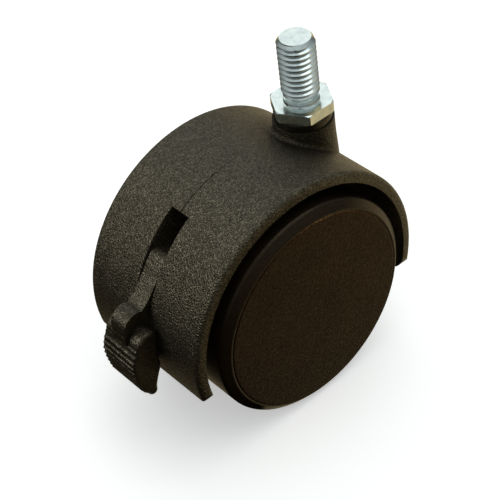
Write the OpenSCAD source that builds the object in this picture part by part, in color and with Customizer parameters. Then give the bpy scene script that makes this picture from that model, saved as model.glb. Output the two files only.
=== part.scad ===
// Twin-wheel chair caster with a hood, a threaded swivel stem and a foot brake.
// The origin is the centre of the hex collar's top face, +Z up the stem,
// +X from the stem towards the wheel axle and the pedal, +Y along the axle.
// All sizes are in millimetres.

/* [Wheels] */
// Diameter over the tread
wheel_diameter = 50; // [40:1:65]
// Width over both hub caps
wheels_width = 40; // [38:0.5:56]
// Free width between the two wheels
wheel_gap = 13.6; // [13.4:0.1:16]
// Thickness of the wheel rim from drum to tread
rim_wall = 3.7; // [3:0.1:5]
// Thickness of the disc behind the hub cap
wheel_floor = 2.5; // [2.2:0.1:4]
// Diameter of the wheel's hub
hub_diameter = 13; // [11.5:0.5:16]
// How far the shoulder slopes in from the tread to the hub cap
shoulder_drop = 2.1; // [1:0.1:3]
// How far the shoulder slopes along the axle
shoulder_width = 1.5; // [0.8:0.1:3]

/* [Hub caps] */
// Depth of the recess that holds the cap
cap_recess = 1.8; // [1.4:0.1:3]
// Height of the crown in the middle of the cap
cap_crown = 0.2; // [0:0.05:0.6]

/* [Hood] */
// Gap between the tread and the inside of the hood
hood_gap = 2.85; // [1.5:0.05:5]
// Wall thickness of the hood
hood_wall = 2.35; // [1.8:0.05:4]
// Width of the hood along the axle
hood_width = 35.2; // [30:0.2:50]
// Depth of the hood's pedal end below the axle
hood_drop_front = 6.3; // [3:0.1:10]
// Depth of the hood's plain end below the axle
hood_drop_rear = 9.2; // [3:0.1:12]
// Radius of the hood's rounded rim
rim_round = 1.2; // [0.4:0.1:1.6]
// Rounding of the hood's lower corners on the pedal side
corner_front = 1.2; // [0.4:0.1:3]
// Rounding of the hood's lower corners on the plain side
corner_rear = 3.5; // [0.5:0.1:6]
// Thickness of each web plate beside the lever
web_thickness = 1.6; // [1.2:0.1:2]
// Distance of the swivel axis from the axle
trail = 18; // [16:0.5:24]
// Diameter of the boss that holds the stem
boss_diameter = 13; // [12.6:0.1:14]
// Height of the boss above the hood on the pedal side
boss_rise = 2.1; // [1:0.1:6]

/* [Stem] */
// Thread diameter
thread_diameter = 8; // [8:1:11]
// Thread pitch
thread_pitch = 1.25; // [1:0.05:1.5]
// Length of the stem above the collar
stem_length = 15; // [12:0.5:40]
// Plain neck between the collar and the thread
stem_neck = 1.5; // [1:0.1:3]
// Width of the hex collar across its flats
collar_flats = 12; // [11.5:0.5:16]
// Height of the hex collar
collar_height = 2.4; // [2:0.1:5]
// Diameter of the plain shank inside the boss
shank_diameter = 7.6; // [7:0.1:8]
// Height of the bush's flange under the collar
flange_height = 1.85; // [1:0.05:3]

/* [Axle] */
// Axle diameter
axle_diameter = 6; // [5:0.5:7]
// Wall thickness of the bush in each wheel
bush_wall = 1.44; // [1:0.02:1.6]

/* [Brake] */
// Thickness of the lever's plate
lever_thickness = 4.5; // [3.5:0.1:4.8]
// Width of the slot in the hood
slot_width = 5.2; // [5.1:0.1:6]
// Angle of the slot's top end above the horizontal
slot_top = 58.5; // [52:0.5:66]
// Width of the pedal
pedal_width = 11; // [8:0.5:16]
// How far the pedal stands out from the hood
pedal_reach = 6.25; // [4:0.25:10]
// Spacing of the grip ribs
rib_pitch = 1.3; // [1.2:0.1:2.5]
// Angle the lever turns through
lever_travel = 15; // [10:1:16]
// Distance the brake bar moves
brake_stroke = 1.2; // [0.8:0.1:1.6]
// Diameter of the brake bar
bar_diameter = 3; // [2.5:0.1:3.5]

/* [Hidden] */
$fn = 96;

// Clearances and small features
running = 0.06;                 // radial clearance of turning fits
snug = 0.02;                    // radial clearance of parts that stay put
sliding = 0.08;                 // clearance of the brake bar in its slots
cap_fit = 0.03;                 // clearance of a hub cap in its recess
air = 0.3;                      // gap between parts that pass each other
edge = 0.25;                    // chamfer on turned and moulded edges
weld = 0.3;                     // how far joined walls run into each other

// Wheels and caps
wheel_r = wheel_diameter / 2;
drum_r = wheel_r - rim_wall;
hub_r = hub_diameter / 2;
cap_r = wheel_r - shoulder_drop - 0.15;
face_y = wheels_width / 2 - cap_crown;          // outer edge of the wheel
floor_y = face_y - cap_recess;                  // outer face of the wheel's disc
disc_in = floor_y - wheel_floor;                // inner face of the wheel's disc
shoulder_y = face_y - shoulder_width;           // where the shoulder starts
wheel_in = wheel_gap / 2;                       // inner edge of the wheel
snap_depth = 1.45;                              // how deep the cap's ring sits in the disc
snap_width = 1;                                 // width of that ring

// Hood and boss
hood_in = wheel_r + hood_gap;
hood_r = hood_in + hood_wall;
boss_r = boss_diameter / 2;
flange_top = -(collar_height + 0.2);
boss_top = flange_top - flange_height - snug;
axle_z = boss_top - boss_rise - sqrt(hood_r * hood_r - (trail - boss_r) * (trail - boss_r));
column_r = min(boss_r - 0.05, wheel_in - air - 0.05);
column_end = axle_z + 4.5;                      // foot of the column that holds the stem
web_in = slot_width / 2;
web_out = web_in + web_thickness;
slot_foot = -60;                                // angle the slot is cut down to

// Stem, its bush and its retaining ring
thread_r = thread_diameter / 2;
thread_root = thread_r - thread_pitch * 5 / 16 * tan(60);
turns = floor((stem_length - stem_neck - 0.9) / thread_pitch);
thread_end = stem_neck + turns * thread_pitch;
thread_lead = 0.76;                             // chamfer at the thread's end
neck_r = thread_root + 0.25;
foot_r = thread_r + running;                    // foot of the neck, just wider than the thread
shank_r = shank_diameter / 2;
socket_r = shank_r + 1.1;                       // outside of the bush in its socket
pocket_r = socket_r + 0.7;                      // pocket for the ring and washer
ring_thick = 0.7;
ring_width = 2;
ring_gap = 1.8;                                 // opening of the split ring
ring_seat = 0.85;                               // depth of the ring's groove
ring_z = column_end + 2.6;                      // underside of the snap ring
tip_chamfer = 0.6;
tip_z = ring_z - 1.4;                           // lower end of the shank
washer_thick = 0.5;
washer_width = 1.4;
stem_washer_z = ring_z + ring_thick + 0.15;
bush_end = stem_washer_z + washer_thick + 0.15;

// Axle
axle_r = axle_diameter / 2;
axle_half = floor_y + air;
axle_chamfer = 0.4;
groove_r = axle_r - 0.5;                        // bottom of the clips' grooves
clip_r = axle_r + 2;
clip_thick = 0.7;
clip_gap = 2.6;                                 // opening of the clip
clip_y = floor_y - 0.95;
clip_play = 0.04;                               // gap each side of a clip in its groove
cheek_r = axle_r + 4;
cheek_y = wheel_in - 0.7;                       // outer face of the axle cheeks
thrust_width = 2.8;
thrust_thick = 0.4;
bush_r = axle_r + running + bush_wall;
bush_flange = 1;                                // how far the wheel bush's flange stands out
flange_depth = 0.65;                            // depth of the flange's seat in the hub
hub_end = clip_y - air;                         // outer end of the hub

// Brake
bar_r = bar_diameter / 2;
bar_at = drum_r - 4.8;                          // radius the bar sits at, brake on
bar_angle = 80;
bar_half = disc_in - 0.8;                       // half the bar's length
bar_lift = brake_stroke / lever_travel;         // bar travel per degree of lever
slope = atan(bar_lift * 180 / PI / bar_at);
pad_angle = 16;                                 // half the angle a pad covers
pad_depth = 2.9;                                // from the bar's centre to the pad's foot
sector_r = bar_at + 4;
eye_r = axle_r + 3.4;
detent_angle = 72;                              // angle of the spring's nose over the lever's rim
nose_r = 0.9;                                   // radius of that nose
nose_at = sector_r + air + nose_r;              // radius it sits at
spring_at = sector_r + 3;                       // radius of the spring's arc
spring_half = 0.25;                             // half the spring strip's thickness
spring_width = 4;
spring_end = acos((column_r - trail) / spring_at) - 2.4;
foot_in = hood_r + air;                         // inside of the pedal
foot_out = hood_r + pedal_reach;                // outside of the pedal
pedal_foot = -14.2;                             // angle of the pedal's lower end
pedal_top = 6.2;                                // angle where the pedal's round top starts
top_r = 0.6 * (foot_out - foot_in);             // radius of that round top
// How far the pedal's face stands beyond or inside its mean radius, by angle
bulge = [[-12.8, -0.1], [-8, 0.25], [-3, 0.5], [0, 0.45], [3, 0], [pedal_top, -0.8]];
rib_r = 0.5;                                    // radius of a grip rib
rib_rise = 0.2;                                 // how far the ribs stand out
rib_start = 6;                                  // angle of the first rib
rib_span = 17.5;                                // angle the ribs cover

// A point at radius r and angle a from the axle, seen along it
function polar(r, a) = [r * cos(a), r * sin(a)];

// Points of an arc about the axle, radius running from r0 to r1
function arc(r0, r1, a0, a1, n) =
    [for (i = [0 : n]) polar(r0 + (r1 - r0) * i / n, a0 + (a1 - a0) * i / n)];

// Place children at the axle
module at_axle() { translate([trail, 0, axle_z]) children(); }

// Turn a profile of radius and width about the axle
module turned() { at_axle() rotate([-90, 0, 0]) rotate_extrude() children(); }

// Extrude a side view across the caster between two widths
module across(y0, y1) {
    at_axle() translate([0, y1, 0]) rotate([90, 0, 0]) linear_extrude(y1 - y0) children();
}

// A side view sector of a disc, from angle a0 to a1
module sector(r, a0, a1) { polygon(concat([[0, 0]], arc(r, r, a0, a1, 36))); }

// ---------------------------------------------------------------- housing

module hood_section() {
    half = hood_width / 2;
    translate([hood_in, -half + rim_round]) square([hood_wall, hood_width - 2 * rim_round]);
    translate([hood_in, -half]) square([hood_wall - rim_round, hood_width]);
    for (s = [-1, 1]) translate([hood_r - rim_round, s * (half - rim_round)]) circle(rim_round);
}

// Everything below the hood's two ends
module below_hood() {
    big = 2 * hood_r;
    across(-hood_width, hood_width) {
        translate([0, -hood_drop_front - big]) square([big, big]);
        translate([-big, -hood_drop_rear - big]) square([big, big]);
    }
}

// Rounds the hood's lower corner on side s, between x0 and x1
module lower_corner(x0, x1, drop, radius, s) {
    at_axle() translate([x0, s * (hood_width / 2 - radius), radius - drop])
        rotate([90, 0, 90]) linear_extrude(x1 - x0) difference() {
            translate([s > 0 ? 0 : -radius - 1, -radius - 1]) square(radius + 1);
            circle(radius);
        }
}

// Slot for the lever: a sector the width of the slot, open at the bottom
module lever_slot() {
    across(-web_in, web_in)
        polygon(concat(arc(hood_r + 3, hood_r + 3, slot_foot, slot_top, 36),
                       [polar(eye_r, slot_top), polar(eye_r, slot_foot)]));
}

// Room between the cheeks for the lever's eye
module eye_room() { across(-web_in, web_in) circle(eye_r + 1); }

// Rib between the web plates that grips the end of the detent spring
module spring_rib() {
    start = spring_end - 5;
    end = spring_end + 2;
    grip = spring_half + snug;
    across(-web_in - weld, web_in + weld) difference() {
        polygon(concat(arc(sector_r + 1, sector_r + 1, start, end, 6),
                       arc(hood_in + weld, hood_in + weld, end, start, 6)));
        polygon(concat(arc(spring_at - grip, spring_at - grip, start - 2, spring_end + 0.5, 8),
                       arc(spring_at + grip, spring_at + grip, spring_end + 0.5, start - 2, 8)));
    }
}

// Radial slots in the web plates that guide the brake bar
module bar_guides() {
    w = bar_r + sliding;
    across(-wheel_in, wheel_in) rotate(bar_angle) {
        translate([bar_at - brake_stroke - air, -w]) square([brake_stroke + 2 * air, 2 * w]);
        translate([bar_at + air, 0]) circle(w);
        translate([bar_at - brake_stroke - air, 0]) circle(w);
    }
}

module housing() {
    color([0.10, 0.10, 0.11]) difference() {
        union() {
            difference() {
                union() {
                    turned() hood_section();
                    across(-web_out, -web_in) circle(hood_in + weld);
                    across(web_in, web_out) circle(hood_in + weld);
                    across(-cheek_y, cheek_y) circle(cheek_r);
                }
                lever_slot();
                eye_room();
                below_hood();
            }
            translate([0, 0, column_end]) cylinder(r = column_r, h = boss_top - column_end - 0.5);
            boss();
            spring_rib();
        }
        for (s = [-1, 1]) {
            lower_corner(-hood_r - 2, 0, hood_drop_rear, corner_rear, s);
            lower_corner(0, hood_r + 2, hood_drop_front, corner_front, s);
        }
        bar_guides();
        translate([0, 0, column_end - 1]) cylinder(r = socket_r + snug, h = boss_top - column_end + 2);
        translate([0, 0, column_end - 1]) cylinder(r = pocket_r, h = bush_end - column_end + 0.9);
        turned() translate([0, -wheel_in]) square([axle_r + snug, wheel_gap]);
    }
}

// The boss flares a little where it runs into the hood
module boss() {
    difference() {
        rotate_extrude() polygon([
            [0, boss_top - 18], [boss_r + 0.35, boss_top - 18],
            [boss_r + 0.3, boss_top - 10], [boss_r + 0.05, boss_top - 5],
            [boss_r, boss_top - 3], [boss_r, boss_top - edge],
            [boss_r - edge, boss_top], [0, boss_top]]);
        turned() translate([0, -hood_width]) square([hood_in + 0.5, 2 * hood_width]);
    }
}

// ------------------------------------------------------------------- stem

module threaded_stem() {
    color([0.78, 0.79, 0.80]) union() {
        rotate_extrude() polygon(concat(
            [[0, tip_z], [shank_r - tip_chamfer, tip_z], [shank_r, tip_z + tip_chamfer],
             [shank_r, ring_z - running], [shank_r - ring_seat, ring_z - running],
             [shank_r - ring_seat, ring_z + ring_thick + running],
             [shank_r, ring_z + ring_thick + running],
             [shank_r, -collar_height / 2], [foot_r, -collar_height / 2],
             [foot_r, 0], [neck_r + 0.1, edge], [neck_r, 2 * edge], [neck_r, stem_neck - edge]],
            [for (i = [0 : turns - 1]) each [
                [thread_r, stem_neck + i * thread_pitch],
                [thread_r, stem_neck + (i + 1 / 8) * thread_pitch],
                [thread_root, stem_neck + (i + 7 / 16) * thread_pitch],
                [thread_root, stem_neck + (i + 11 / 16) * thread_pitch]]],
            [[thread_r, thread_end], [thread_r, thread_end + 0.1],
             [thread_r - thread_lead, stem_length], [0, stem_length]]));
        intersection() {
            translate([0, 0, -collar_height])
                cylinder(r = collar_flats / 2 / cos(30), h = collar_height, $fn = 6);
            rotate_extrude() polygon([
                [0, -collar_height], [collar_flats / 2 + 1, -collar_height],
                [collar_flats / 2 + 1, -0.5], [collar_flats / 2 - edge, 0], [0, 0]]);
        }
    }
}

module stem_bush() {
    color([0.12, 0.12, 0.13]) rotate_extrude() polygon([
        [shank_r + running, bush_end], [socket_r - edge, bush_end], [socket_r, bush_end + edge],
        [socket_r, boss_top + snug], [boss_r - 0.05, boss_top + snug],
        [boss_r - 0.05, flange_top - edge], [boss_r - 0.05 - edge, flange_top],
        [shank_r + running, flange_top]]);
}

module stem_washer() {
    color([0.72, 0.73, 0.75]) rotate_extrude()
        translate([shank_r + 0.1, stem_washer_z]) square([washer_width, washer_thick]);
}

module stem_snap_ring() {
    color([0.40, 0.41, 0.43]) difference() {
        rotate_extrude()
            translate([shank_r - ring_seat + 0.05, ring_z]) square([ring_width, ring_thick]);
        translate([0, -ring_gap / 2, ring_z - 0.5]) cube([shank_r + 3, ring_gap, ring_thick + 1]);
    }
}

// ------------------------------------------------------------------- axle

module axle() {
    near = clip_y - clip_play;
    far = clip_y + clip_thick + clip_play;
    color([0.74, 0.75, 0.76]) turned() polygon([
        [0, -axle_half], [axle_r - axle_chamfer, -axle_half], [axle_r, -axle_half + axle_chamfer],
        [axle_r, -far], [groove_r, -far], [groove_r, -near], [axle_r, -near],
        [axle_r, near], [groove_r, near], [groove_r, far], [axle_r, far],
        [axle_r, axle_half - axle_chamfer], [axle_r - axle_chamfer, axle_half], [0, axle_half]]);
}

module axle_clip_right() {
    color([0.40, 0.41, 0.43]) difference() {
        turned() translate([groove_r + 0.05, clip_y]) square([clip_r - groove_r - 0.05, clip_thick]);
        across(clip_y - 1, clip_y + 2) translate([-clip_gap / 2, -clip_r - 1]) square([clip_gap, clip_r]);
    }
}
module axle_clip_left() { mirror([0, 1, 0]) axle_clip_right(); }

module thrust_washer_right() {
    color([0.85, 0.84, 0.80]) turned()
        translate([axle_r + 0.05, cheek_y + 0.03]) square([thrust_width, thrust_thick]);
}
module thrust_washer_left() { mirror([0, 1, 0]) thrust_washer_right(); }

// ----------------------------------------------------------------- wheels

module wheel_right() {
    groove_y = floor_y - snap_depth - 0.05;
    flange_r = bush_r + bush_flange;
    color([0.11, 0.11, 0.12]) turned() polygon([
        [bush_r + snug, wheel_in], [hub_r, wheel_in], [hub_r, disc_in], [drum_r, disc_in],
        [drum_r, wheel_in + 0.4], [drum_r + 0.4, wheel_in],
        [wheel_r - 0.6, wheel_in], [wheel_r, wheel_in + 0.6], [wheel_r, shoulder_y - edge],
        [wheel_r - 0.08, shoulder_y - 0.08], [wheel_r - edge, shoulder_y + 0.1],
        [cap_r + 0.35, face_y - 0.1], [cap_r + 0.12, face_y - 0.02], [cap_r + 0.05, face_y - 0.15],
        [cap_r + 0.05, floor_y], [drum_r + 0.1, floor_y], [drum_r + 0.1, groove_y],
        [drum_r - snap_width - 0.1, groove_y], [drum_r - snap_width - 0.1, floor_y],
        [hub_r + air, floor_y], [hub_r + air, hub_end],
        [flange_r + snug, hub_end], [flange_r + snug, hub_end - flange_depth],
        [bush_r + snug, hub_end - flange_depth]]);
}
module wheel_left() { mirror([0, 1, 0]) wheel_right(); }

module wheel_bush_right() {
    seat = hub_end - flange_depth + 0.03;
    end = hub_end - snug;
    color([0.86, 0.85, 0.80]) turned() polygon([
        [axle_r + running, wheel_in + 0.05], [bush_r, wheel_in + 0.05], [bush_r, seat],
        [bush_r + bush_flange, seat], [bush_r + bush_flange, end], [axle_r + running, end]]);
}
module wheel_bush_left() { mirror([0, 1, 0]) wheel_bush_right(); }

module hub_cap_right() {
    seat = floor_y + cap_fit;
    hub_room = floor_y + 0.75;
    tip = floor_y - snap_depth;
    color([0.09, 0.09, 0.10]) turned() polygon(concat(
        [[0, hub_room], [hub_r, hub_room], [hub_r + 0.7, seat],
         [drum_r - snap_width, seat], [drum_r - snap_width, tip + 0.1],
         [drum_r - snap_width + 0.2, tip], [drum_r - 0.2, tip], [drum_r, tip + 0.2],
         [drum_r, seat], [cap_r - cap_fit, seat], [cap_r - cap_fit, face_y - 0.3],
         [cap_r - 0.12, face_y - 0.1], [cap_r - 0.35, face_y]],
        [for (k = [0.8 : -0.2 : 0.1]) [cap_r * k, face_y + cap_crown * (1 - k * k)]],
        [[0, face_y + cap_crown]]));
}
module hub_cap_left() { mirror([0, 1, 0]) hub_cap_right(); }

// ------------------------------------------------------------------ brake

// Curved slot that pulls the bar inwards as the lever lifts
module cam_slot() {
    w = (bar_r + sliding) / cos(slope);
    a0 = bar_angle - lever_travel - 2;
    a1 = bar_angle + 2;
    r0 = bar_at - bar_lift * (lever_travel + 2);
    r1 = bar_at + bar_lift * 2;
    polygon(concat(arc(r0 - w, r1 - w, a0, a1, 24), arc(r1 + w, r0 + w, a1, a0, 24)));
    translate(polar(r0, a0)) circle(bar_r + sliding);
    translate(polar(r1, a1)) circle(bar_r + sliding);
}

// Plate between the web plates: eye, sector with the cam slot, arm and strip
module lever_plate() {
    difference() {
        union() {
            circle(eye_r);
            sector(sector_r, 24, 92);
            polygon(concat(arc(eye_r, sector_r, 18, 24, 6), [polar(sector_r, 40), polar(eye_r, 60)]));
            // Arm and the strip that fills the slot, its face just under the hood's
            polygon(concat(
                [polar(sector_r - 1, 24), polar(hood_in - 3.4, 12), polar(hood_in - 3, -7)],
                [polar(foot_in + 0.6, -8), polar(foot_out - 3.45, 17.5)],
                [polar(hood_r + 1.9, 19.2), polar(hood_r + 1.35, 20.3), polar(hood_r + 0.75, 22.5)],
                arc(hood_r + 0.2, hood_r - 0.35, 26, 31, 4),
                arc(hood_r - 0.35, hood_r - 0.55, 32.5, 39.2, 6),
                [polar(hood_r - 0.9, 40.6), polar(hood_r - 1.7, 41.6), polar(hood_in - 1, 43),
                 polar(hood_in - 3, 46), polar(sector_r - 1, 48)]));
            // Rounded nose over the pedal's top
            translate(polar(foot_out - 3.55, 12.8)) circle(3.45);
            translate(polar(foot_out - 2.85, 8.6)) circle(2.55);
        }
        circle(axle_r + 0.1);
        cam_slot();
        for (a = [detent_angle, detent_angle - lever_travel])
            translate(polar(sector_r + 0.6, a)) circle(nose_r + 0.25);
    }
}

// Radius of the pedal's face at an angle
function face_at(angle) = foot_out + lookup(angle, bulge);

// Side view of the pedal: a thick curved pad, thinner towards its foot
module pedal_profile() {
    polygon(concat(
        arc(foot_in, foot_in, 12, -4.5, 12),
        arc(foot_in + 0.4, foot_in + 2.9, -7, pedal_foot, 6),
        [polar(foot_out - 0.75, pedal_foot)],
        [for (a = [-12.8 : 1 : pedal_top]) polar(face_at(a), a)],
        [for (a = [5 : 10 : 105])
            polar(face_at(pedal_top) - top_r, pedal_top) + top_r * [cos(a), sin(a)]]));
    translate(polar((foot_in + foot_out + 2.1) / 2, pedal_foot)) circle((foot_out - foot_in - 3.7) / 2);
}

module brake_lever() {
    step = rib_pitch / foot_out * 180 / PI;
    ribs = floor(rib_span / step);
    color([0.10, 0.10, 0.11]) union() {
        across(-lever_thickness / 2, lever_thickness / 2) lever_plate();
        across(-pedal_width / 2, pedal_width / 2) pedal_profile();
        across(-pedal_width / 2, pedal_width / 2)
            for (i = [0 : ribs]) {
                angle = rib_start - i * step;
                translate(polar(face_at(angle) + rib_rise - rib_r, angle)) circle(rib_r, $fn = 24);
            }
    }
}

module brake_bar() {
    color([0.76, 0.77, 0.78])
        across(-bar_half, bar_half) translate(polar(bar_at, bar_angle)) circle(bar_r);
}

// Shoe that rubs on the inside of the wheel's rim
module brake_pad_right() {
    color([0.35, 0.16, 0.12])
        across(wheel_in + 0.8, bar_half + 0.2) difference() {
            polygon(concat(
                arc(drum_r - air, drum_r - air, bar_angle - pad_angle, bar_angle + pad_angle, 32),
                [polar(bar_at, bar_angle + pad_angle - 1),
                 polar(bar_at - pad_depth, bar_angle + pad_angle / 2),
                 polar(bar_at - pad_depth, bar_angle - pad_angle / 2),
                 polar(bar_at, bar_angle - pad_angle + 1)]));
            translate(polar(bar_at, bar_angle)) circle(bar_r + snug);
        }
}
module brake_pad_left() { mirror([0, 1, 0]) brake_pad_right(); }

// Leaf spring over the sector's rim; its nose hangs over the two notches
module detent_spring() {
    inner = spring_at - spring_half;
    outer = spring_at + spring_half;
    bend = detent_angle + 9;
    half = spring_width / 2;
    color([0.55, 0.56, 0.58]) {
        across(-half, half)
            polygon(concat(arc(inner, inner, bend, spring_end, 40),
                           arc(outer, outer, spring_end, bend, 40),
                           [polar(nose_at + 0.6 * nose_r, detent_angle - 0.6),
                            polar(nose_at - 0.2 * nose_r, detent_angle + 0.9)]));
        across(-half, half) translate(polar(nose_at, detent_angle)) circle(nose_r);
    }
}

housing();
threaded_stem();
stem_bush();
stem_washer();
stem_snap_ring();
axle();
wheel_right();
wheel_left();
wheel_bush_right();
wheel_bush_left();
hub_cap_right();
hub_cap_left();
thrust_washer_right();
thrust_washer_left();
axle_clip_right();
axle_clip_left();
brake_lever();
brake_bar();
brake_pad_right();
brake_pad_left();
detent_spring();
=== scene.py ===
"""A chair caster with a hood, a threaded stem and a foot brake: its detailed pieces and their finishes."""
import math

import bmesh
import bpy
from mathutils import Matrix, Vector


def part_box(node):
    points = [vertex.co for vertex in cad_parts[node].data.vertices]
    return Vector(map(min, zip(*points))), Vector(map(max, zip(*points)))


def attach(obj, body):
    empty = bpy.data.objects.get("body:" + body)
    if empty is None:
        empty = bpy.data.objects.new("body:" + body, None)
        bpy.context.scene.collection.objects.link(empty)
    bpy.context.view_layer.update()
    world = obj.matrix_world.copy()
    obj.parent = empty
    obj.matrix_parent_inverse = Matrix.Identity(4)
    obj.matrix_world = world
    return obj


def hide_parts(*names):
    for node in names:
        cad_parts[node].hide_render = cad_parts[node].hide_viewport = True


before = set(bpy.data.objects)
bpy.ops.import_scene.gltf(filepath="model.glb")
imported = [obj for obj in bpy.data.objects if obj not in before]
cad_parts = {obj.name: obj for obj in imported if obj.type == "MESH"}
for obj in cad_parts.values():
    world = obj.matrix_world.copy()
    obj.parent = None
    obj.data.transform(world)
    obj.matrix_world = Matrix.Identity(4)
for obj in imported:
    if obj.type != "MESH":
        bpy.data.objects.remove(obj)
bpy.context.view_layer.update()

MM = 0.001

# ------------------------------------------------------------ places, from the frame

wheel_low, wheel_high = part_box("wheel_right")
cap_low, cap_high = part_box("hub_cap_right")
stem_low, stem_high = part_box("threaded_stem")
bush_low, bush_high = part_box("stem_bush")
ring_low, ring_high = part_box("stem_snap_ring")

UP = Vector((0, 0, 1))
STEM_AXIS = Vector((0, 0, 0))
AXLE = Vector(((wheel_low.x + wheel_high.x) / 2, 0, (wheel_low.z + wheel_high.z) / 2))
WHEEL_R = (wheel_high.x - wheel_low.x) / 2
CAP_R = (cap_high.x - cap_low.x) / 2
HOOD_R = AXLE.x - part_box("housing")[0].x
THREAD_R = 4 * MM
PITCH = 1.25 * MM
# The brake lever: its plate, half its pad's width, how far in mm the pad stands out past the hood,
# and the angle in degrees at which the pad's face ends.
PLATE = 4.5 * MM
PAD_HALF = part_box("brake_lever")[1].y
PEDAL_REACH = 6.25
PAD_TOP = 6.2
# The wheel's drum, and the face inside the wheel that its cap is snapped against.
DRUM_R = WHEEL_R - 3.7 * MM
CAP_SEAT = cap_low.y + 1.45 * MM

# ------------------------------------------------------------ mesh tools


def bevelled(bm, geom, size, segments, affect="EDGES"):
    """Round edges or corners."""
    bmesh.ops.bevel(bm, geom=geom, offset=size, offset_type="OFFSET", segments=segments,
                    profile=0.5, affect=affect, material=-1, clamp_overlap=True)


def outline(bm, points, place, rounding=0.0, segments=4):
    """A flat face through points (u, v) put in space by place(u, v); a third number rounds that corner."""
    corners = {}
    verts = []
    for point in points:
        vert = bm.verts.new(place(point[0], point[1]))
        verts.append(vert)
        size = point[2] if len(point) > 2 else rounding
        if size > 0:
            corners.setdefault(size, []).append(vert)
    bm.faces.new(verts)
    for size, group in corners.items():
        bevelled(bm, group, size, segments, affect="VERTICES")
    return bm


def turned(points, centre, axis, steps=192):
    """A closed solid of revolution. Points are (radius, height along the axis, rounding)."""
    bm = bmesh.new()
    side = Vector((1, 0, 0))
    outline(bm, points, lambda r, h: centre + side * r + axis * h)
    bmesh.ops.delete(bm, geom=bm.faces[:], context="FACES_ONLY")
    on_axis = [e for e in bm.edges
               if all((v.co - centre).cross(axis).length < 1e-7 for v in e.verts)]
    bmesh.ops.delete(bm, geom=on_axis, context="EDGES")
    bmesh.ops.spin(bm, geom=bm.verts[:] + bm.edges[:], cent=centre, axis=axis, angle=math.tau,
                   steps=steps, use_merge=True)
    return closed(bm)


def closed(bm):
    """Merge doubles and point every face outwards."""
    bmesh.ops.remove_doubles(bm, verts=bm.verts[:], dist=1e-7)
    bmesh.ops.recalc_face_normals(bm, faces=bm.faces[:])
    return bm


def prism(points, low_y, high_y, rounding=0.0, segments=4):
    """A side view about the axle, extruded across the caster."""
    bm = bmesh.new()
    outline(bm, points, lambda x, z: AXLE + Vector((x, low_y, z)), rounding, segments)
    side = bmesh.ops.extrude_face_region(bm, geom=bm.faces[:])
    moved = [v for v in side["geom"] if isinstance(v, bmesh.types.BMVert)]
    bmesh.ops.translate(bm, verts=moved, vec=(0, high_y - low_y, 0))
    return closed(bm)


def as_object(bm, name):
    """A mesh object in the scene."""
    mesh = bpy.data.meshes.new(name)
    bm.to_mesh(mesh)
    bm.free()
    piece = bpy.data.objects.new(name, mesh)
    bpy.context.scene.collection.objects.link(piece)
    return piece


def combine(piece, bm, how):
    """Join a closed shape to a piece, or cut it out."""
    tool = as_object(bm, "tool")
    step = piece.modifiers.new("step", "BOOLEAN")
    step.operation = how
    step.object = tool
    step.solver = "EXACT"
    graph = bpy.context.evaluated_depsgraph_get()
    mesh = bpy.data.meshes.new_from_object(piece.evaluated_get(graph))
    piece.modifiers.clear()
    piece.data = mesh
    bpy.data.objects.remove(tool)
    return piece


def sharp_edges(bm, angle):
    """Edges that turn by more than an angle in degrees."""
    return [e for e in bm.edges if len(e.link_faces) == 2 and e.calc_face_angle(0) > math.radians(angle)]


def middle_of(edge):
    """The middle of an edge."""
    return (edge.verts[0].co + edge.verts[1].co) / 2


def tidied(piece):
    """The piece's mesh as a bmesh with flat areas as single faces."""
    bm = bmesh.new()
    bm.from_mesh(piece.data)
    bmesh.ops.remove_doubles(bm, verts=bm.verts[:], dist=2e-6)
    bmesh.ops.dissolve_degenerate(bm, dist=2e-6, edges=bm.edges[:])
    bmesh.ops.dissolve_limit(bm, angle_limit=math.radians(0.1), use_dissolve_boundaries=False,
                             verts=bm.verts[:], edges=bm.edges[:])
    return bm


def finish_piece(piece, body, material, slot, *stands_for):
    """Shade a piece, give it its finish and tie it to its body."""
    piece.data.materials.clear()
    piece.data.materials.append(material)
    for face in piece.data.polygons:
        face.use_smooth = True
        face.material_index = 0
    piece.data.set_sharp_from_angle(angle=math.radians(38))
    weighted = piece.modifiers.new("even_shading", "WEIGHTED_NORMAL")
    weighted.keep_sharp = True
    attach(piece, body)
    if stands_for:
        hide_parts(*stands_for)


def polar(radius, angle):
    """Offset from the axle at a radius in mm and an angle in degrees, seen from the side."""
    return (radius * MM * math.cos(math.radians(angle)), radius * MM * math.sin(math.radians(angle)))


def arc(r0, r1, a0, a1, steps):
    """Side-view points from one radius and angle to another."""
    return [polar(r0 + (r1 - r0) * i / steps, a0 + (a1 - a0) * i / steps) for i in range(steps + 1)]


def disc(radius, angle, size, low_y, high_y, steps=48):
    """A round bar across the caster: its centre's radius and angle, and its own radius, in mm."""
    x, z = polar(radius, angle)
    ring = [(x + size * MM * math.cos(math.tau * i / steps), z + size * MM * math.sin(math.tau * i / steps))
            for i in range(steps)]
    return prism(ring, low_y, high_y)


# ------------------------------------------------------------ finishes


def linear(code):
    """A hex colour as linear red, green, blue and full alpha."""
    parts = [int(code[i:i + 2], 16) / 255 for i in (1, 3, 5)]
    return [p / 12.92 if p <= 0.04045 else ((p + 0.055) / 1.055) ** 2.4 for p in parts] + [1.0]


def add(tree, kind, inputs, **settings):
    """Add a node with its settings, and its inputs as values or links."""
    made = tree.nodes.new(kind)
    for name, value in settings.items():
        setattr(made, name, value)
    for name, value in inputs.items():
        if isinstance(value, bpy.types.NodeSocket):
            tree.links.new(value, made.inputs[name])
        else:
            made.inputs[name].default_value = value
    return made


def started(name):
    """A new material: its node tree, its shader and the object coordinates."""
    material = bpy.data.materials.new(name)
    material.use_nodes = True
    tree = material.node_tree
    shader = tree.nodes["Principled BSDF"]
    where = add(tree, "ShaderNodeTexCoord", {}).outputs["Object"]
    return material, tree, shader, where


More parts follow.
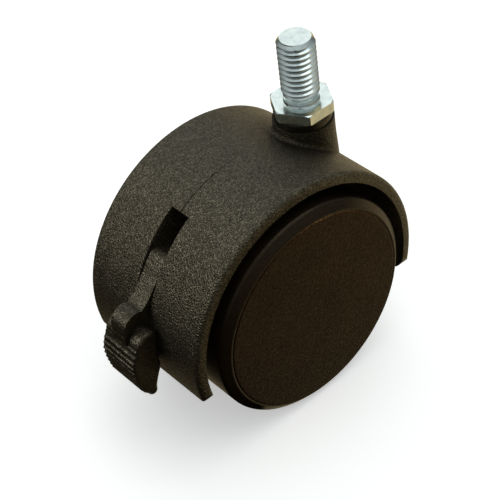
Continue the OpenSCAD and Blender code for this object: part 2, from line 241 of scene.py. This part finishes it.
def per_mm(size):
    """Texture scale for a pattern of a size in millimetres."""
    return 1 / (size * MM)


def moulded_plastic(name, dark, light, grain, depth, rough, gloss, tint="#ffffff", sparkle=0.3, plain=0.0):
    """Injection moulded plastic from a spark-eroded tool: even fine grain that glitters where light rakes it.

    The grain's size and depth are in mm. Sparkle is how unevenly single grains shine. Where plain is given,
    the gloss is low within that many mm of the stem's axis and full a little further out: a painted shade
    that stands in for the collar's shadow over the boss.
    """
    shaded_gloss, fade = 0.35, 5
    material, tree, shader, where = started(name)
    # The grain's relief: pebbles broken up by cells.
    pebble = add(tree, "ShaderNodeTexNoise", {"Vector": where, "Scale": per_mm(grain), "Detail": 3.0,
                                              "Roughness": 0.65})
    cells = add(tree, "ShaderNodeTexVoronoi", {"Vector": where, "Scale": per_mm(grain * 1.6)})
    relief = add(tree, "ShaderNodeMath", {0: pebble.outputs[0], 1: cells.outputs["Distance"]},
                 operation="MULTIPLY")
    bump = add(tree, "ShaderNodeBump", {"Height": relief.outputs[0], "Distance": depth * MM, "Strength": 1.0})
    # Colour that drifts a little over the piece, as the melt flowed.
    flow = add(tree, "ShaderNodeTexNoise", {"Vector": where, "Scale": per_mm(9), "Detail": 4.0})
    tone = add(tree, "ShaderNodeValToRGB", {"Fac": flow.outputs[0]})
    tone.color_ramp.elements[0].position = 0.35
    tone.color_ramp.elements[0].color = linear(dark)
    tone.color_ramp.elements[1].position = 0.7
    tone.color_ramp.elements[1].color = linear(light)
    sheen = add(tree, "ShaderNodeMapRange", {"Value": pebble.outputs[0], "From Min": 0.3, "From Max": 0.7,
                                             "To Min": rough - 0.14, "To Max": rough + 0.1})
    # Glitter: a few grains shine far more than the rest.
    specks = add(tree, "ShaderNodeTexVoronoi", {"Vector": where, "Scale": per_mm(grain)})
    pick = add(tree, "ShaderNodeSeparateColor", {"Color": specks.outputs["Color"]})
    few = add(tree, "ShaderNodeMath", {0: pick.outputs[0], 1: 2.0}, operation="POWER")
    glitter = add(tree, "ShaderNodeMapRange", {"Value": few.outputs[0], "To Min": gloss * (1 - 0.6 * sparkle),
                                               "To Max": gloss * (1 + 1.2 * sparkle)})
    level = glitter.outputs[0]
    # Painted shade: within plain mm of the stem's axis the gloss drops, standing in for the collar's shadow
    # over the boss.
    if plain:
        across = add(tree, "ShaderNodeVectorMath", {0: where, 1: (1, 1, 0)}, operation="MULTIPLY")
        reach = add(tree, "ShaderNodeVectorMath", {0: across.outputs[0]}, operation="LENGTH")
        collar_shade = add(tree, "ShaderNodeMapRange", {"Value": reach.outputs["Value"], "From Min": plain * MM,
                                                 "From Max": (plain + fade) * MM,
                                                 "To Min": shaded_gloss, "To Max": 1.0})
        level = add(tree, "ShaderNodeMath", {0: level, 1: collar_shade.outputs[0]}, operation="MULTIPLY").outputs[0]
    tree.links.new(tone.outputs[0], shader.inputs["Base Color"])
    tree.links.new(sheen.outputs[0], shader.inputs["Roughness"])
    tree.links.new(level, shader.inputs["Specular IOR Level"])
    tree.links.new(bump.outputs[0], shader.inputs["Normal"])
    shader.inputs["IOR"].default_value = 1.5
    shader.inputs["Specular Tint"].default_value = linear(tint)
    return material


def plated_steel(name, bright, cloudy, rough, scratch):
    """Zinc or plain steel: a soft mirror broken by faint clouds in the plating and very fine scratches."""
    material, tree, shader, where = started(name)
    cloud = add(tree, "ShaderNodeTexNoise", {"Vector": where, "Scale": per_mm(2.2), "Detail": 5.0,
                                             "Roughness": 0.6})
    tone = add(tree, "ShaderNodeValToRGB", {"Fac": cloud.outputs[0]})
    tone.color_ramp.elements[0].position = 0.3
    tone.color_ramp.elements[0].color = linear(cloudy)
    tone.color_ramp.elements[1].position = 0.62
    tone.color_ramp.elements[1].color = linear(bright)
    fine = add(tree, "ShaderNodeTexNoise", {"Vector": where, "Scale": per_mm(0.25), "Detail": 2.0})
    sheen = add(tree, "ShaderNodeMapRange", {"Value": cloud.outputs[0], "From Min": 0.3, "From Max": 0.7,
                                             "To Min": rough + 0.08, "To Max": rough - 0.04})
    bump = add(tree, "ShaderNodeBump", {"Height": fine.outputs[0], "Distance": scratch * MM, "Strength": 0.6})
    tree.links.new(tone.outputs[0], shader.inputs["Base Color"])
    tree.links.new(sheen.outputs[0], shader.inputs["Roughness"])
    tree.links.new(bump.outputs[0], shader.inputs["Normal"])
    shader.inputs["Metallic"].default_value = 1.0
    return material


# Deep spark-eroded grain: a warm black that glitters all over; beside the stem its gloss is dimmed, a painted
# shade for the collar's shadow over the boss.
HOOD_NYLON = moulded_plastic("grained_nylon_moulded", "#16130c", "#1d1912", grain=0.26, depth=0.30,
                             rough=0.30, gloss=0.66, tint="#fff0c8", sparkle=0.8, plain=8.0)
# The same grain, about half as deep, so the pedal looks smoother than the hood.
LEVER_NYLON = moulded_plastic("lever_nylon_moulded", "#15120b", "#1c1811", grain=0.25, depth=0.16,
                              rough=0.30, gloss=0.44, tint="#fff0c8", sparkle=0.7)
# A dry brown-black face with a few bright specks.
CAP_NYLON = moulded_plastic("cap_nylon_spark_eroded", "#0f0a05", "#140e07", grain=0.24, depth=0.12,
                            rough=0.42, gloss=0.08, tint="#ffdcaa", sparkle=0.9)
# Polished tool, no grain: a soft satin band along the wheel's shoulder.
WHEEL_NYLON = moulded_plastic("wheel_nylon_satin", "#150f08", "#1b130b", grain=0.40, depth=0.02,
                              rough=0.34, gloss=0.26, tint="#ffe3b6", sparkle=0.2)
# Slippery bearing plastic, blacker and smoother than the hood, with a clean rim light on its flange.
BUSH_ACETAL = moulded_plastic("bush_acetal_moulded", "#0c0a07", "#110e0a", grain=0.30, depth=0.02,
                              rough=0.34, gloss=0.5, tint="#fff3cf")
# Undyed bearing plastic: milky off-white.
NATURAL_ACETAL = moulded_plastic("natural_acetal_moulded", "#cfcabb", "#d8d3c5", grain=0.4, depth=0.02,
                                 rough=0.42, gloss=0.5)
# Dull red-brown friction rubber.
PAD_RUBBER = moulded_plastic("brake_rubber_moulded", "#3a1f18", "#47281f", grain=0.35, depth=0.06,
                             rough=0.7, gloss=0.4)
# Bright plating with a faint green-blue cast: sharp light and dark bands round the thread.
ZINC = plated_steel("bright_zinc_plated_steel", "#dbe3dd", "#c2cccb", rough=0.15, scratch=0.012)
# Bare turned steel: greyer and more spread than the plating.
BRIGHT_STEEL = plated_steel("turned_steel", "#cfd0d0", "#b2b3b3", rough=0.26, scratch=0.015)
# Hardened and oiled: a dark grey with a broad sheen.
SPRING_STEEL = plated_steel("oiled_spring_steel", "#6d6c6a", "#4f4d4a", rough=0.34, scratch=0.02)


def finish_node(name, material):
    """Give a carried-over CAD node its finish."""
    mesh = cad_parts[name].data
    mesh.materials.clear()
    mesh.materials.append(material)
    for face in mesh.polygons:
        face.material_index = 0


# ------------------------------------------------------------ stem


def clamped(value):
    """A value held between 0 and 1."""
    return min(max(value, 0), 1)


def thread_rod():
    """A rolled M8 thread as one true helix, run out into the neck and chamfered at the top."""
    root = THREAD_R - 0.66 * MM
    neck_r, neck_top, length = 3.57 * MM, 1.35 * MM, stem_high.z
    turns = math.ceil(length / PITCH) + 1
    bm = bmesh.new()
    # One pitch of the thread: rounded crest, flank, rounded root, flank.
    shape = [(THREAD_R - 0.04 * MM, 0.0), (THREAD_R, 0.03), (THREAD_R, 0.17), (THREAD_R - 0.04 * MM, 0.20),
             (root + 0.08 * MM, 0.50), (root, 0.56), (root, 0.64), (root + 0.08 * MM, 0.70),
             (THREAD_R - 0.04 * MM, 1.0)]
    low = -PITCH * 0.8
    verts = [bm.verts.new((r, 0, low + h * PITCH)) for r, h in shape]
    for a, b in zip(verts, verts[1:]):
        bm.edges.new((a, b))
    per_turn = 72
    bmesh.ops.spin(bm, geom=bm.verts[:] + bm.edges[:], cent=(0, 0, 0), axis=(0, 0, 1),
                   dvec=(0, 0, PITCH / per_turn), angle=math.tau * turns, steps=per_turn * turns,
                   use_merge=False)
    bmesh.ops.remove_doubles(bm, verts=bm.verts[:], dist=1e-6)
    for height, up in ((-0.3 * MM, -1), (length, 1)):
        bmesh.ops.bisect_plane(bm, geom=bm.verts[:] + bm.edges[:] + bm.faces[:], dist=1e-7,
                               plane_co=(0, 0, height), plane_no=(0, 0, up), clear_outer=True)
        bmesh.ops.remove_doubles(bm, verts=bm.verts[:], dist=1e-6)
        bmesh.ops.holes_fill(bm, edges=[e for e in bm.edges if len(e.link_faces) == 1], sides=0)
    chamfer_r, chamfer_low = 3.26 * MM, length - 0.85 * MM
    run_out, foot_h, foot_flare = 0.9 * MM, 0.55 * MM, 0.35 * MM
    # The thread runs out into the neck, the neck flares at its foot and the top end is chamfered.
    for vert in bm.verts:
        radius = math.hypot(vert.co.x, vert.co.y)
        if radius < 1e-6:
            continue
        wanted = neck_r + (radius - neck_r) * clamped((vert.co.z - neck_top) / run_out)
        foot = clamped((foot_h - vert.co.z) / foot_h)
        wanted += foot_flare * foot * foot
        over = clamped((vert.co.z - chamfer_low) / (length - chamfer_low))
        wanted = min(wanted, THREAD_R + (chamfer_r - THREAD_R) * over)
        vert.co.x *= wanted / radius
        vert.co.y *= wanted / radius
    return closed(bm)


def hex_collar():
    """The spanner collar, its corners turned off and every edge broken."""
    low = -2.4 * MM
    flats = (stem_high.y - stem_low.y) / 2
    bm = bmesh.new()
    bmesh.ops.create_cone(bm, cap_ends=True, segments=6, radius1=flats / math.cos(math.pi / 6),
                          radius2=flats / math.cos(math.pi / 6), depth=-low,
                          matrix=Matrix.Translation((0, 0, low / 2)) @ Matrix.Rotation(math.pi / 2, 4, "Z"))
    collar = as_object(closed(bm), "hex_collar")
    corner = flats + 0.8 * MM
    combine(collar, turned([(0, low), (corner, low, 0.2 * MM), (corner, -0.16 * MM), (flats + 0.5 * MM, 0),
                            (0, 0)], STEM_AXIS, UP, 96), "INTERSECT")
    bm = tidied(collar)
    bevelled(bm, sharp_edges(bm, 25), 0.07 * MM, 3)
    closed(bm).to_mesh(collar.data)
    bm.free()
    return collar


def stem():
    """The whole stem as one piece: thread, collar and the plain shank with its snap-ring groove."""
    shank, groove, end = 3.8 * MM, 2.95 * MM, stem_low.z
    inside_collar = -1.2 * MM
    groove_low, groove_high = ring_low.z - 0.06 * MM, ring_high.z + 0.06 * MM
    lower = turned([(0, end), (shank, end, 0.4 * MM), (shank, groove_low, 0.05 * MM), (groove, groove_low),
                    (groove, groove_high), (shank, groove_high, 0.05 * MM), (shank, inside_collar),
                    (0, inside_collar)], STEM_AXIS, UP, 96)
    piece = hex_collar()
    piece.name = "stem_with_collar"
    combine(piece, lower, "UNION")
    combine(piece, thread_rod(), "UNION")
    finish_piece(piece, "stem", ZINC, "zinc_steel", "threaded_stem")


def flanged_bush():
    """The black swivel bush: its flange fills the joint between collar and boss."""
    top, low = bush_high.z, bush_low.z
    flange = (bush_high.x - bush_low.x) / 2
    bore, shank = 3.86 * MM, 4.9 * MM
    under = top - 1.85 * MM
    bm = turned([(bore, low), (shank, low, 0.25 * MM), (shank, under), (flange - 0.3 * MM, under),
                 (flange - 0.3 * MM, top, 0.3 * MM), (bore, top, 0.1 * MM)],
                STEM_AXIS, UP)
    finish_piece(as_object(bm, "flanged_bush"), "housing", BUSH_ACETAL, "bush_acetal", "stem_bush")


# ------------------------------------------------------------ wheels and caps


def side_name(side):
    """The word for a side: 1 is right, -1 is left."""
    return "right" if side > 0 else "left"


def wheel(side, name):
    """One wheel: satin tread, rounded shoulder, recess for its cap, drum and hub."""
    face, inner = wheel_high.y, wheel_low.y
    recess = CAP_R + 0.05 * MM
    hub, bore, pocket = 6.5 * MM, 4.52 * MM, 5.52 * MM
    hub_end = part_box("wheel_bush_right")[1].y + 0.02 * MM
    pocket_floor = hub_end - 0.65 * MM
    web = CAP_SEAT - 2.5 * MM
    groove_in, groove_out, groove_floor = DRUM_R - 1.1 * MM, DRUM_R + 0.1 * MM, CAP_SEAT - 1.5 * MM
    points = [
        (bore, inner, 0.2 * MM), (hub, inner, 0.4 * MM), (hub, web, 0.8 * MM), (DRUM_R, web, 0.8 * MM),
        (DRUM_R, inner, 0.35 * MM), (WHEEL_R, inner, 0.9 * MM), (WHEEL_R, face - 1.6 * MM, 0.55 * MM),
        (recess + 0.28 * MM, face, 0.3 * MM), (recess, face - 0.14 * MM, 0.06 * MM), (recess, CAP_SEAT),
        (groove_out, CAP_SEAT), (groove_out, groove_floor), (groove_in, groove_floor),
        (groove_in, CAP_SEAT), (hub + 0.3 * MM, CAP_SEAT), (hub + 0.3 * MM, hub_end, 0.1 * MM),
        (pocket, hub_end, 0.1 * MM), (pocket, pocket_floor), (bore, pocket_floor)]
    bm = turned(points, AXLE, Vector((0, side, 0)), 240)
    finish_piece(as_object(bm, name), "wheel_" + side_name(side), WHEEL_NYLON, "wheel_nylon",
                 "wheel_" + side_name(side))


def hub_cap(side, name):
    """The flat cover: softly crowned, with a rounded lip and its snap ring behind."""
    face, crown = wheel_high.y, cap_high.y
    back, dish = CAP_SEAT + 0.03 * MM, CAP_SEAT + 0.75 * MM
    snap_in, snap_end = DRUM_R - 1 * MM, CAP_SEAT - 1.42 * MM
    points = [(0, dish), (6.5 * MM, dish), (7.2 * MM, back), (snap_in, back), (snap_in, snap_end, 0.2 * MM),
              (DRUM_R, snap_end, 0.3 * MM), (DRUM_R, back), (CAP_R, back),
              (CAP_R, face - 0.03 * MM, 0.3 * MM)]
    rings, flat_r = 8, CAP_R * 0.97
    points += [(flat_r * (1 - i / rings), face + (crown - face) * (1 - (1 - i / rings) ** 2))
               for i in range(rings + 1)]
    bm = turned(points, AXLE, Vector((0, side, 0)), 240)
    finish_piece(as_object(bm, name), "wheel_" + side_name(side), CAP_NYLON, "cap_nylon",
                 "hub_cap_" + side_name(side))


# ------------------------------------------------------------ housing


def boss_blend():
    """The boss above the hood, run into it with a rolling-ball fillet."""
    boss, top, ball = 6.5 * MM, bush_high.z - 1.87 * MM, 0.8 * MM
    steps, wall, around = 10, 3, 160
    spacing = 0.1 * MM
    bm = bmesh.new()
    # Levels 0 to steps are the fillet from hood to boss, the rest is the boss wall up to its rim.
    verts = [bm.verts.new((boss, 0, level * spacing)) for level in range(steps + 1 + wall)]
    for a, b in zip(verts, verts[1:]):
        bm.edges.new((a, b))
    bmesh.ops.spin(bm, geom=bm.verts[:] + bm.edges[:], cent=(0, 0, 0), axis=(0, 0, 1), angle=math.tau,
                   steps=around, use_merge=True)
    for vert in bm.verts:
        level = round(vert.co.z / spacing)
        angle = math.atan2(vert.co.y, vert.co.x)
        out = Vector((math.cos(angle), math.sin(angle), 0))
        centre = out * (boss + ball)
        lean = centre.x - AXLE.x
        centre.z = AXLE.z + math.sqrt((HOOD_R + ball) ** 2 - lean * lean)
        to_hood = (Vector((AXLE.x, centre.y, AXLE.z)) - centre).normalized()
        to_boss = -out
        if level <= steps:
            # The fillet starts a little under the hood's surface, so that the two shapes cross.
            turn = -0.12 + 1.12 * level / steps
            span = math.acos(max(-1, min(1, to_hood.dot(to_boss))))
            mix = (to_hood * math.sin((1 - turn) * span) + to_boss * math.sin(turn * span)) / math.sin(span)
            vert.co = centre + mix * ball
        else:
            part = (level - steps) / wall
            vert.co = out * boss
            vert.co.z = centre.z + (top - centre.z) * part
    rims = [e for e in bm.edges if len(e.link_faces) == 1]
    bmesh.ops.contextual_create(bm, geom=[e for e in rims if e.verts[0].co.z > top - 0.01 * MM])
    bottom = [e for e in rims if e.verts[0].co.z < top - 0.01 * MM]
    down = bmesh.ops.extrude_edge_only(bm, edges=bottom)
    low = [v for v in down["geom"] if isinstance(v, bmesh.types.BMVert)]
    for vert in low:
        inwards = 0.9 * boss / math.hypot(vert.co.x, vert.co.y)
        vert.co.x *= inwards
        vert.co.y *= inwards
        vert.co.z = AXLE.z + math.sqrt((HOOD_R - 1.2 * MM) ** 2 - (vert.co.x - AXLE.x) ** 2)
    bmesh.ops.contextual_create(bm, geom=[e for e in bm.edges if len(e.link_faces) == 1])
    return closed(bm)


def node_shape(name):
    """A merged copy of a CAD node's shape as a new piece."""
    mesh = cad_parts[name].data.copy()
    piece = bpy.data.objects.new(name + "_shape", mesh)
    bpy.context.scene.collection.objects.link(piece)
    bm = bmesh.new()
    bm.from_mesh(mesh)
    closed(bm).to_mesh(mesh)
    bm.free()
    return piece


def radius_of(point):
    """Distance from the axle's axis."""
    return math.hypot(point.x - AXLE.x, point.z - AXLE.z)


def parting_line():
    """The fine mould line from the slot towards the boss: a hair groove that fades out as it goes."""
    start, end, steps = 58, 99, 30
    depth, half, clear = 0.3, 0.12 * MM, 0.5
    surface = HOOD_R / MM
    outer = arc(surface + clear, surface + clear, start, end, steps)
    inner = arc(surface - depth, surface + 0.01, start, end, steps)
    return prism(outer + inner[::-1], -half, half)


def round_shading(mesh):
    """Turn the normals on the hood's round outside straight away from the axle."""
    normals = []
    for face in mesh.polygons:
        for index in face.vertices:
            out = mesh.vertices[index].co - AXLE
            out.y = 0
            on_hood = abs(out.length - HOOD_R) < 0.03 * MM
            out.normalize()
            normals.append(out[:] if on_hood and face.normal.dot(out) > 0.97 else (0, 0, 0))
    mesh.normals_split_custom_set(normals)


def hood():
    """The one-piece moulding: hood, boss with its fillet, web plates and cheeks, with broken edges."""
    piece = node_shape("housing")
    piece.name = "hood_moulding"
    combine(piece, boss_blend(), "UNION")
    bore, bore_low, bore_top = 4.92 * MM, -20 * MM, bush_high.z
    combine(piece, turned([(0, bore_low), (bore, bore_low), (bore, bore_top), (0, bore_top)],
                          STEM_AXIS, UP, 96), "DIFFERENCE")
    combine(piece, parting_line(), "DIFFERENCE")
    bm = tidied(piece)
    # Every outside edge is broken, apart from the mould line's own.
    outside = [e for e in sharp_edges(bm, 40)
               if radius_of(middle_of(e)) > HOOD_R - 2.5 * MM and abs(middle_of(e).y) > 0.5 * MM]
    bevelled(bm, outside, 0.2 * MM, 3)
    closed(bm).to_mesh(piece.data)
    bm.free()
    finish_piece(piece, "housing", HOOD_NYLON, "hood_nylon", "housing")
    piece.modifiers.clear()
    round_shading(piece.data)


def bend(centre, size, start, end, steps):
    """Side-view points of a round corner: its centre as an offset, its radius in mm and its two angles."""
    angles = [math.radians(start + (end - start) * i / steps) for i in range(steps + 1)]
    return [(centre[0] + size * MM * math.cos(a), centre[1] + size * MM * math.sin(a)) for a in angles]


def end_edges(bm):
    """The edges round the two flat ends of a prism across the caster."""
    flat = {face for face in bm.faces if abs(face.normal.y) > 0.99}
    return [e for e in bm.edges
            if len(e.link_faces) == 2 and (e.link_faces[0] in flat) != (e.link_faces[1] in flat)]


def face_at(angle):
    """Radius of the pad's face in mm at an angle: fullest just under the first ribs."""
    # Pairs of an angle and how far the face stands in front of its plain arc, in mm.
    bulge = ((-12.8, -0.1), (-8, 0.25), (-3, 0.5), (0, 0.45), (3, 0), (PAD_TOP, -0.8))
    pairs = [pair for pair in zip(bulge, bulge[1:]) if pair[0][0] <= angle <= pair[1][0]]
    (low, start), (high, end) = pairs[0] if pairs else bulge[:2]
    return HOOD_R / MM + PEDAL_REACH + start + (end - start) * (angle - low) / (high - low)


def pedal_pad():
    """The thick curved pad under the toe, its two ends well rounded."""
    inner, outer = HOOD_R / MM + 0.32, HOOD_R / MM + PEDAL_REACH
    top_r, foot_r, foot = 3.55, 1.15, -14.2
    # The back of the pad, its round top, bulged face and round foot, and the hollow behind the foot.
    points = arc(inner, inner, -4.5, 12, 12)
    points += bend(polar(face_at(PAD_TOP) - top_r - 0.01, PAD_TOP), top_r, 105, 8, 12)
    points += [polar(face_at(angle), angle) for angle in range(6, -13, -1)]
    points += bend(polar(outer - 1.95, foot), foot_r, -14, -190, 10)
    points += arc(inner + 2.6, inner + 0.4, -13.2, -7, 6)
    bm = prism(points, -PAD_HALF, PAD_HALF)
    bevelled(bm, end_edges(bm), 0.75 * MM, 5)
    return closed(bm)


def grip_ribs():
    """The row of fine ribs across the pad."""
    ribs, pitch, start, rib_r, sunk = 9, 1.3, 6, 0.5, 0.31
    step = math.degrees(pitch / (HOOD_R / MM + PEDAL_REACH))
    half = PAD_HALF - 0.55 * MM
    bm = bmesh.new()
    for i in range(ribs):
        angle = start - i * step
        rib = disc(face_at(angle) - sunk, angle, rib_r, -half, half, 24)
        mesh = bpy.data.meshes.new("rib")
        rib.to_mesh(mesh)
        rib.free()
        bm.from_mesh(mesh)
        bpy.data.meshes.remove(mesh)
    return closed(bm)


def pedal_lever():
    """The brake lever: the plate between the web plates, the strip and nose in front, the pad and ribs."""
    piece = node_shape("brake_lever")
    piece.name = "pedal_lever"
    half = PLATE / 2 - 0.01 * MM
    reach = HOOD_R / MM
    everything, pad_back, pad_front = reach + 20, reach + 1.3, reach + 12
    combine(piece, prism(arc(everything, everything, -180, 180, 24)[:-1], -half, half), "INTERSECT")
    toe = arc(pad_back, pad_back, -30, 5, 12) + arc(pad_front, pad_front, 5, -30, 12)
    combine(piece, prism(toe, -2 * half, 2 * half), "DIFFERENCE")
    bm = tidied(piece)
    outside = [e for e in end_edges(bm) if radius_of(middle_of(e)) > HOOD_R - 1.5 * MM]
    bevelled(bm, outside, 0.15 * MM, 2)
    closed(bm).to_mesh(piece.data)
    bm.free()
    combine(piece, pedal_pad(), "UNION")
    combine(piece, grip_ribs(), "UNION")
    finish_piece(piece, "brake_lever", LEVER_NYLON, "lever_nylon", "brake_lever")


for node, material in (("stem_washer", BRIGHT_STEEL), ("stem_snap_ring", SPRING_STEEL),
                       ("axle", BRIGHT_STEEL), ("wheel_bush_right", NATURAL_ACETAL),
                       ("wheel_bush_left", NATURAL_ACETAL), ("thrust_washer_right", NATURAL_ACETAL),
                       ("thrust_washer_left", NATURAL_ACETAL), ("axle_clip_right", SPRING_STEEL),
                       ("axle_clip_left", SPRING_STEEL), ("brake_bar", BRIGHT_STEEL),
                       ("brake_pad_right", PAD_RUBBER), ("brake_pad_left", PAD_RUBBER),
                       ("detent_spring", SPRING_STEEL)):
    finish_node(node, material)

stem()
flanged_bush()
hood()
pedal_lever()
for side in (1, -1):
    wheel(side, "wheel_rim_" + side_name(side))
    hub_cap(side, "wheel_cover_" + side_name(side))

# ------------------------------------------------------------ stage, light and camera


def matt_sheet(name, place, size, material_name, colour, rough, gloss):
    """A flat level square of one matt colour: the piece and its shader."""
    bm = bmesh.new()
    bmesh.ops.create_grid(bm, x_segments=1, y_segments=1, size=size, matrix=Matrix.Translation(place))
    sheet = as_object(bm, name)
    material, _, shader, _ = started(material_name)
    shader.inputs["Base Color"].default_value = linear(colour)
    shader.inputs["Roughness"].default_value = rough
    shader.inputs["Specular IOR Level"].default_value = gloss
    sheet.data.materials.append(material)
    return sheet, shader


def floor():
    """A plain pale studio floor under the wheels, with a faint glow of its own that keeps it white."""
    gap, half_size = 0.05 * MM, 30.0
    ground, shader = matt_sheet("studio_floor", (0, 0, wheel_low.z - gap), half_size,
                                "matt_pale_floor", "#fdfaf4", 0.9, 0.1)
    shader.inputs["Emission Color"].default_value = linear("#ffffff")
    shader.inputs["Emission Strength"].default_value = 0.42
    ground.visible_glossy = False
    ground.visible_diffuse = False


def softbox(name, place, width, height, radiance, tint="#ffffff", flagged=None):
    """A rectangular studio light that faces the caster; a flagged one falls on the named pieces alone."""
    light = bpy.data.lights.new(name, "AREA")
    light.shape = "RECTANGLE"
    light.size = width
    light.size_y = height
    light.energy = radiance * math.pi * width * height
    light.color = linear(tint)[:3]
    holder = bpy.data.objects.new(name, light)
    holder.visible_camera = False
    bpy.context.scene.collection.objects.link(holder)
    if flagged:
        lit = bpy.data.collections.new(name + "_falls_on")
        for piece in flagged:
            lit.objects.link(bpy.data.objects[piece])
        holder.light_linking.receiver_collection = lit
    place = Vector(place)
    facing = (AXLE - place).to_track_quat("-Z", "Y").to_matrix().to_4x4()
    holder.matrix_world = Matrix.Translation(place) @ facing


def dark_card():
    """A dark card low beside the pedal, seen only in reflections: a painted shadow that stands in for the
    floor's shade beside the wheel where the pedal's side reflects it.
    """
    half_size, ahead, aside, above = 11 * MM, 26 * MM, 17 * MM, 0.5 * MM
    card, _ = matt_sheet("dark_card", (AXLE.x + ahead, aside, wheel_low.z + above), half_size,
                         "matt_black_card", "#0c0906", 1.0, 0.0)
    card.visible_camera = False
    card.visible_diffuse = False
    card.visible_shadow = False


def room():
    """The room round the stage: bright above; below, warm behind the hood and dark past the pedal."""
    world = bpy.data.worlds.new("studio")
    bpy.context.scene.world = world
    world.use_nodes = True
    tree = world.node_tree
    way = add(tree, "ShaderNodeTexCoord", {}).outputs["Generated"]
    height = add(tree, "ShaderNodeSeparateXYZ", {"Vector": way}).outputs["Z"]
    aside = add(tree, "ShaderNodeVectorMath", {0: way, 1: (-0.99, 0.14, 0)}, operation="DOT_PRODUCT")
    round_about = add(tree, "ShaderNodeMapRange", {"Value": aside.outputs["Value"], "From Min": -1.0,
                                                   "From Max": 1.0})
    below = add(tree, "ShaderNodeValToRGB", {"Fac": round_about.outputs[0]})
    below.color_ramp.elements[0].position = 0.3
    below.color_ramp.elements[0].color = linear("#1c1812")
    below.color_ramp.elements[1].position = 0.85
    below.color_ramp.elements[1].color = linear("#d8c49a")
    rise = add(tree, "ShaderNodeMapRange", {"Value": height, "From Min": -0.12, "From Max": 0.12},
               interpolation_type="SMOOTHSTEP")
    sky = add(tree, "ShaderNodeValToRGB", {"Fac": height})
    sky.color_ramp.elements[0].position = 0.0
    sky.color_ramp.elements[0].color = linear("#4a4a46")
    sky.color_ramp.elements[1].position = 0.9
    sky.color_ramp.elements[1].color = linear("#d2dade")
    mixed = add(tree, "ShaderNodeMixRGB", {"Fac": rise.outputs[0], "Color1": below.outputs[0],
                                           "Color2": sky.outputs[0]})
    tree.links.new(mixed.outputs[0], tree.nodes["Background"].inputs["Color"])
    tree.nodes["Background"].inputs["Strength"].default_value = 1.0


floor()
room()
# A wide window behind the left wheel, which lights the hood's top at a low angle.
softbox("window", (-0.42, -0.62, 0.66), 1.0, 0.9, 0.74, "#f6fbfb")
# A strong panel past the pedal, whose reflection makes the grain glitter.
softbox("side_panel", (0.76, -0.44, 0.45), 0.60, 0.34, 8.0, "#fdfeff",
        ["hood_moulding", "pedal_lever", "wheel_rim_right", "wheel_cover_right"])
# A small warm reflector close to the right cover, which browns its black.
softbox("warm_card", (-0.080, 0.068, 0.050), 0.06, 0.06, 40.0, "#ffcf96", ["wheel_cover_right"])
# A soft light overhead, which fills the shadows.
softbox("overhead", (-0.30, 0.20, 1.0), 1.0, 0.8, 0.95, "#f4faff")
# A painted shadow: a dark card that the pedal's side reflects in place of the floor's shade beside the wheel.
dark_card()

# The camera looks down at the right wheel from beyond the pedal, rolled so that the stem leans.
eye = Vector((0.1517, 0.1840, 0.1746))
aim = Vector((0.01934, 0.00140, -0.02806))
upright = Vector((-0.505, -0.451, 0.736))
back = (eye - aim).normalized()
right = upright.cross(back).normalized()
camera = bpy.data.objects.new("camera", bpy.data.cameras.new("camera"))
bpy.context.scene.collection.objects.link(camera)
camera.matrix_world = Matrix.Translation(eye) @ Matrix((right, back.cross(right), back)).transposed().to_4x4()
camera.data.sensor_width = 36
camera.data.lens = 103.74
camera.data.clip_start = 0.01
bpy.context.scene.camera = camera
bpy.context.scene.view_settings.view_transform = "Standard"

bpy.context.view_layer.update()
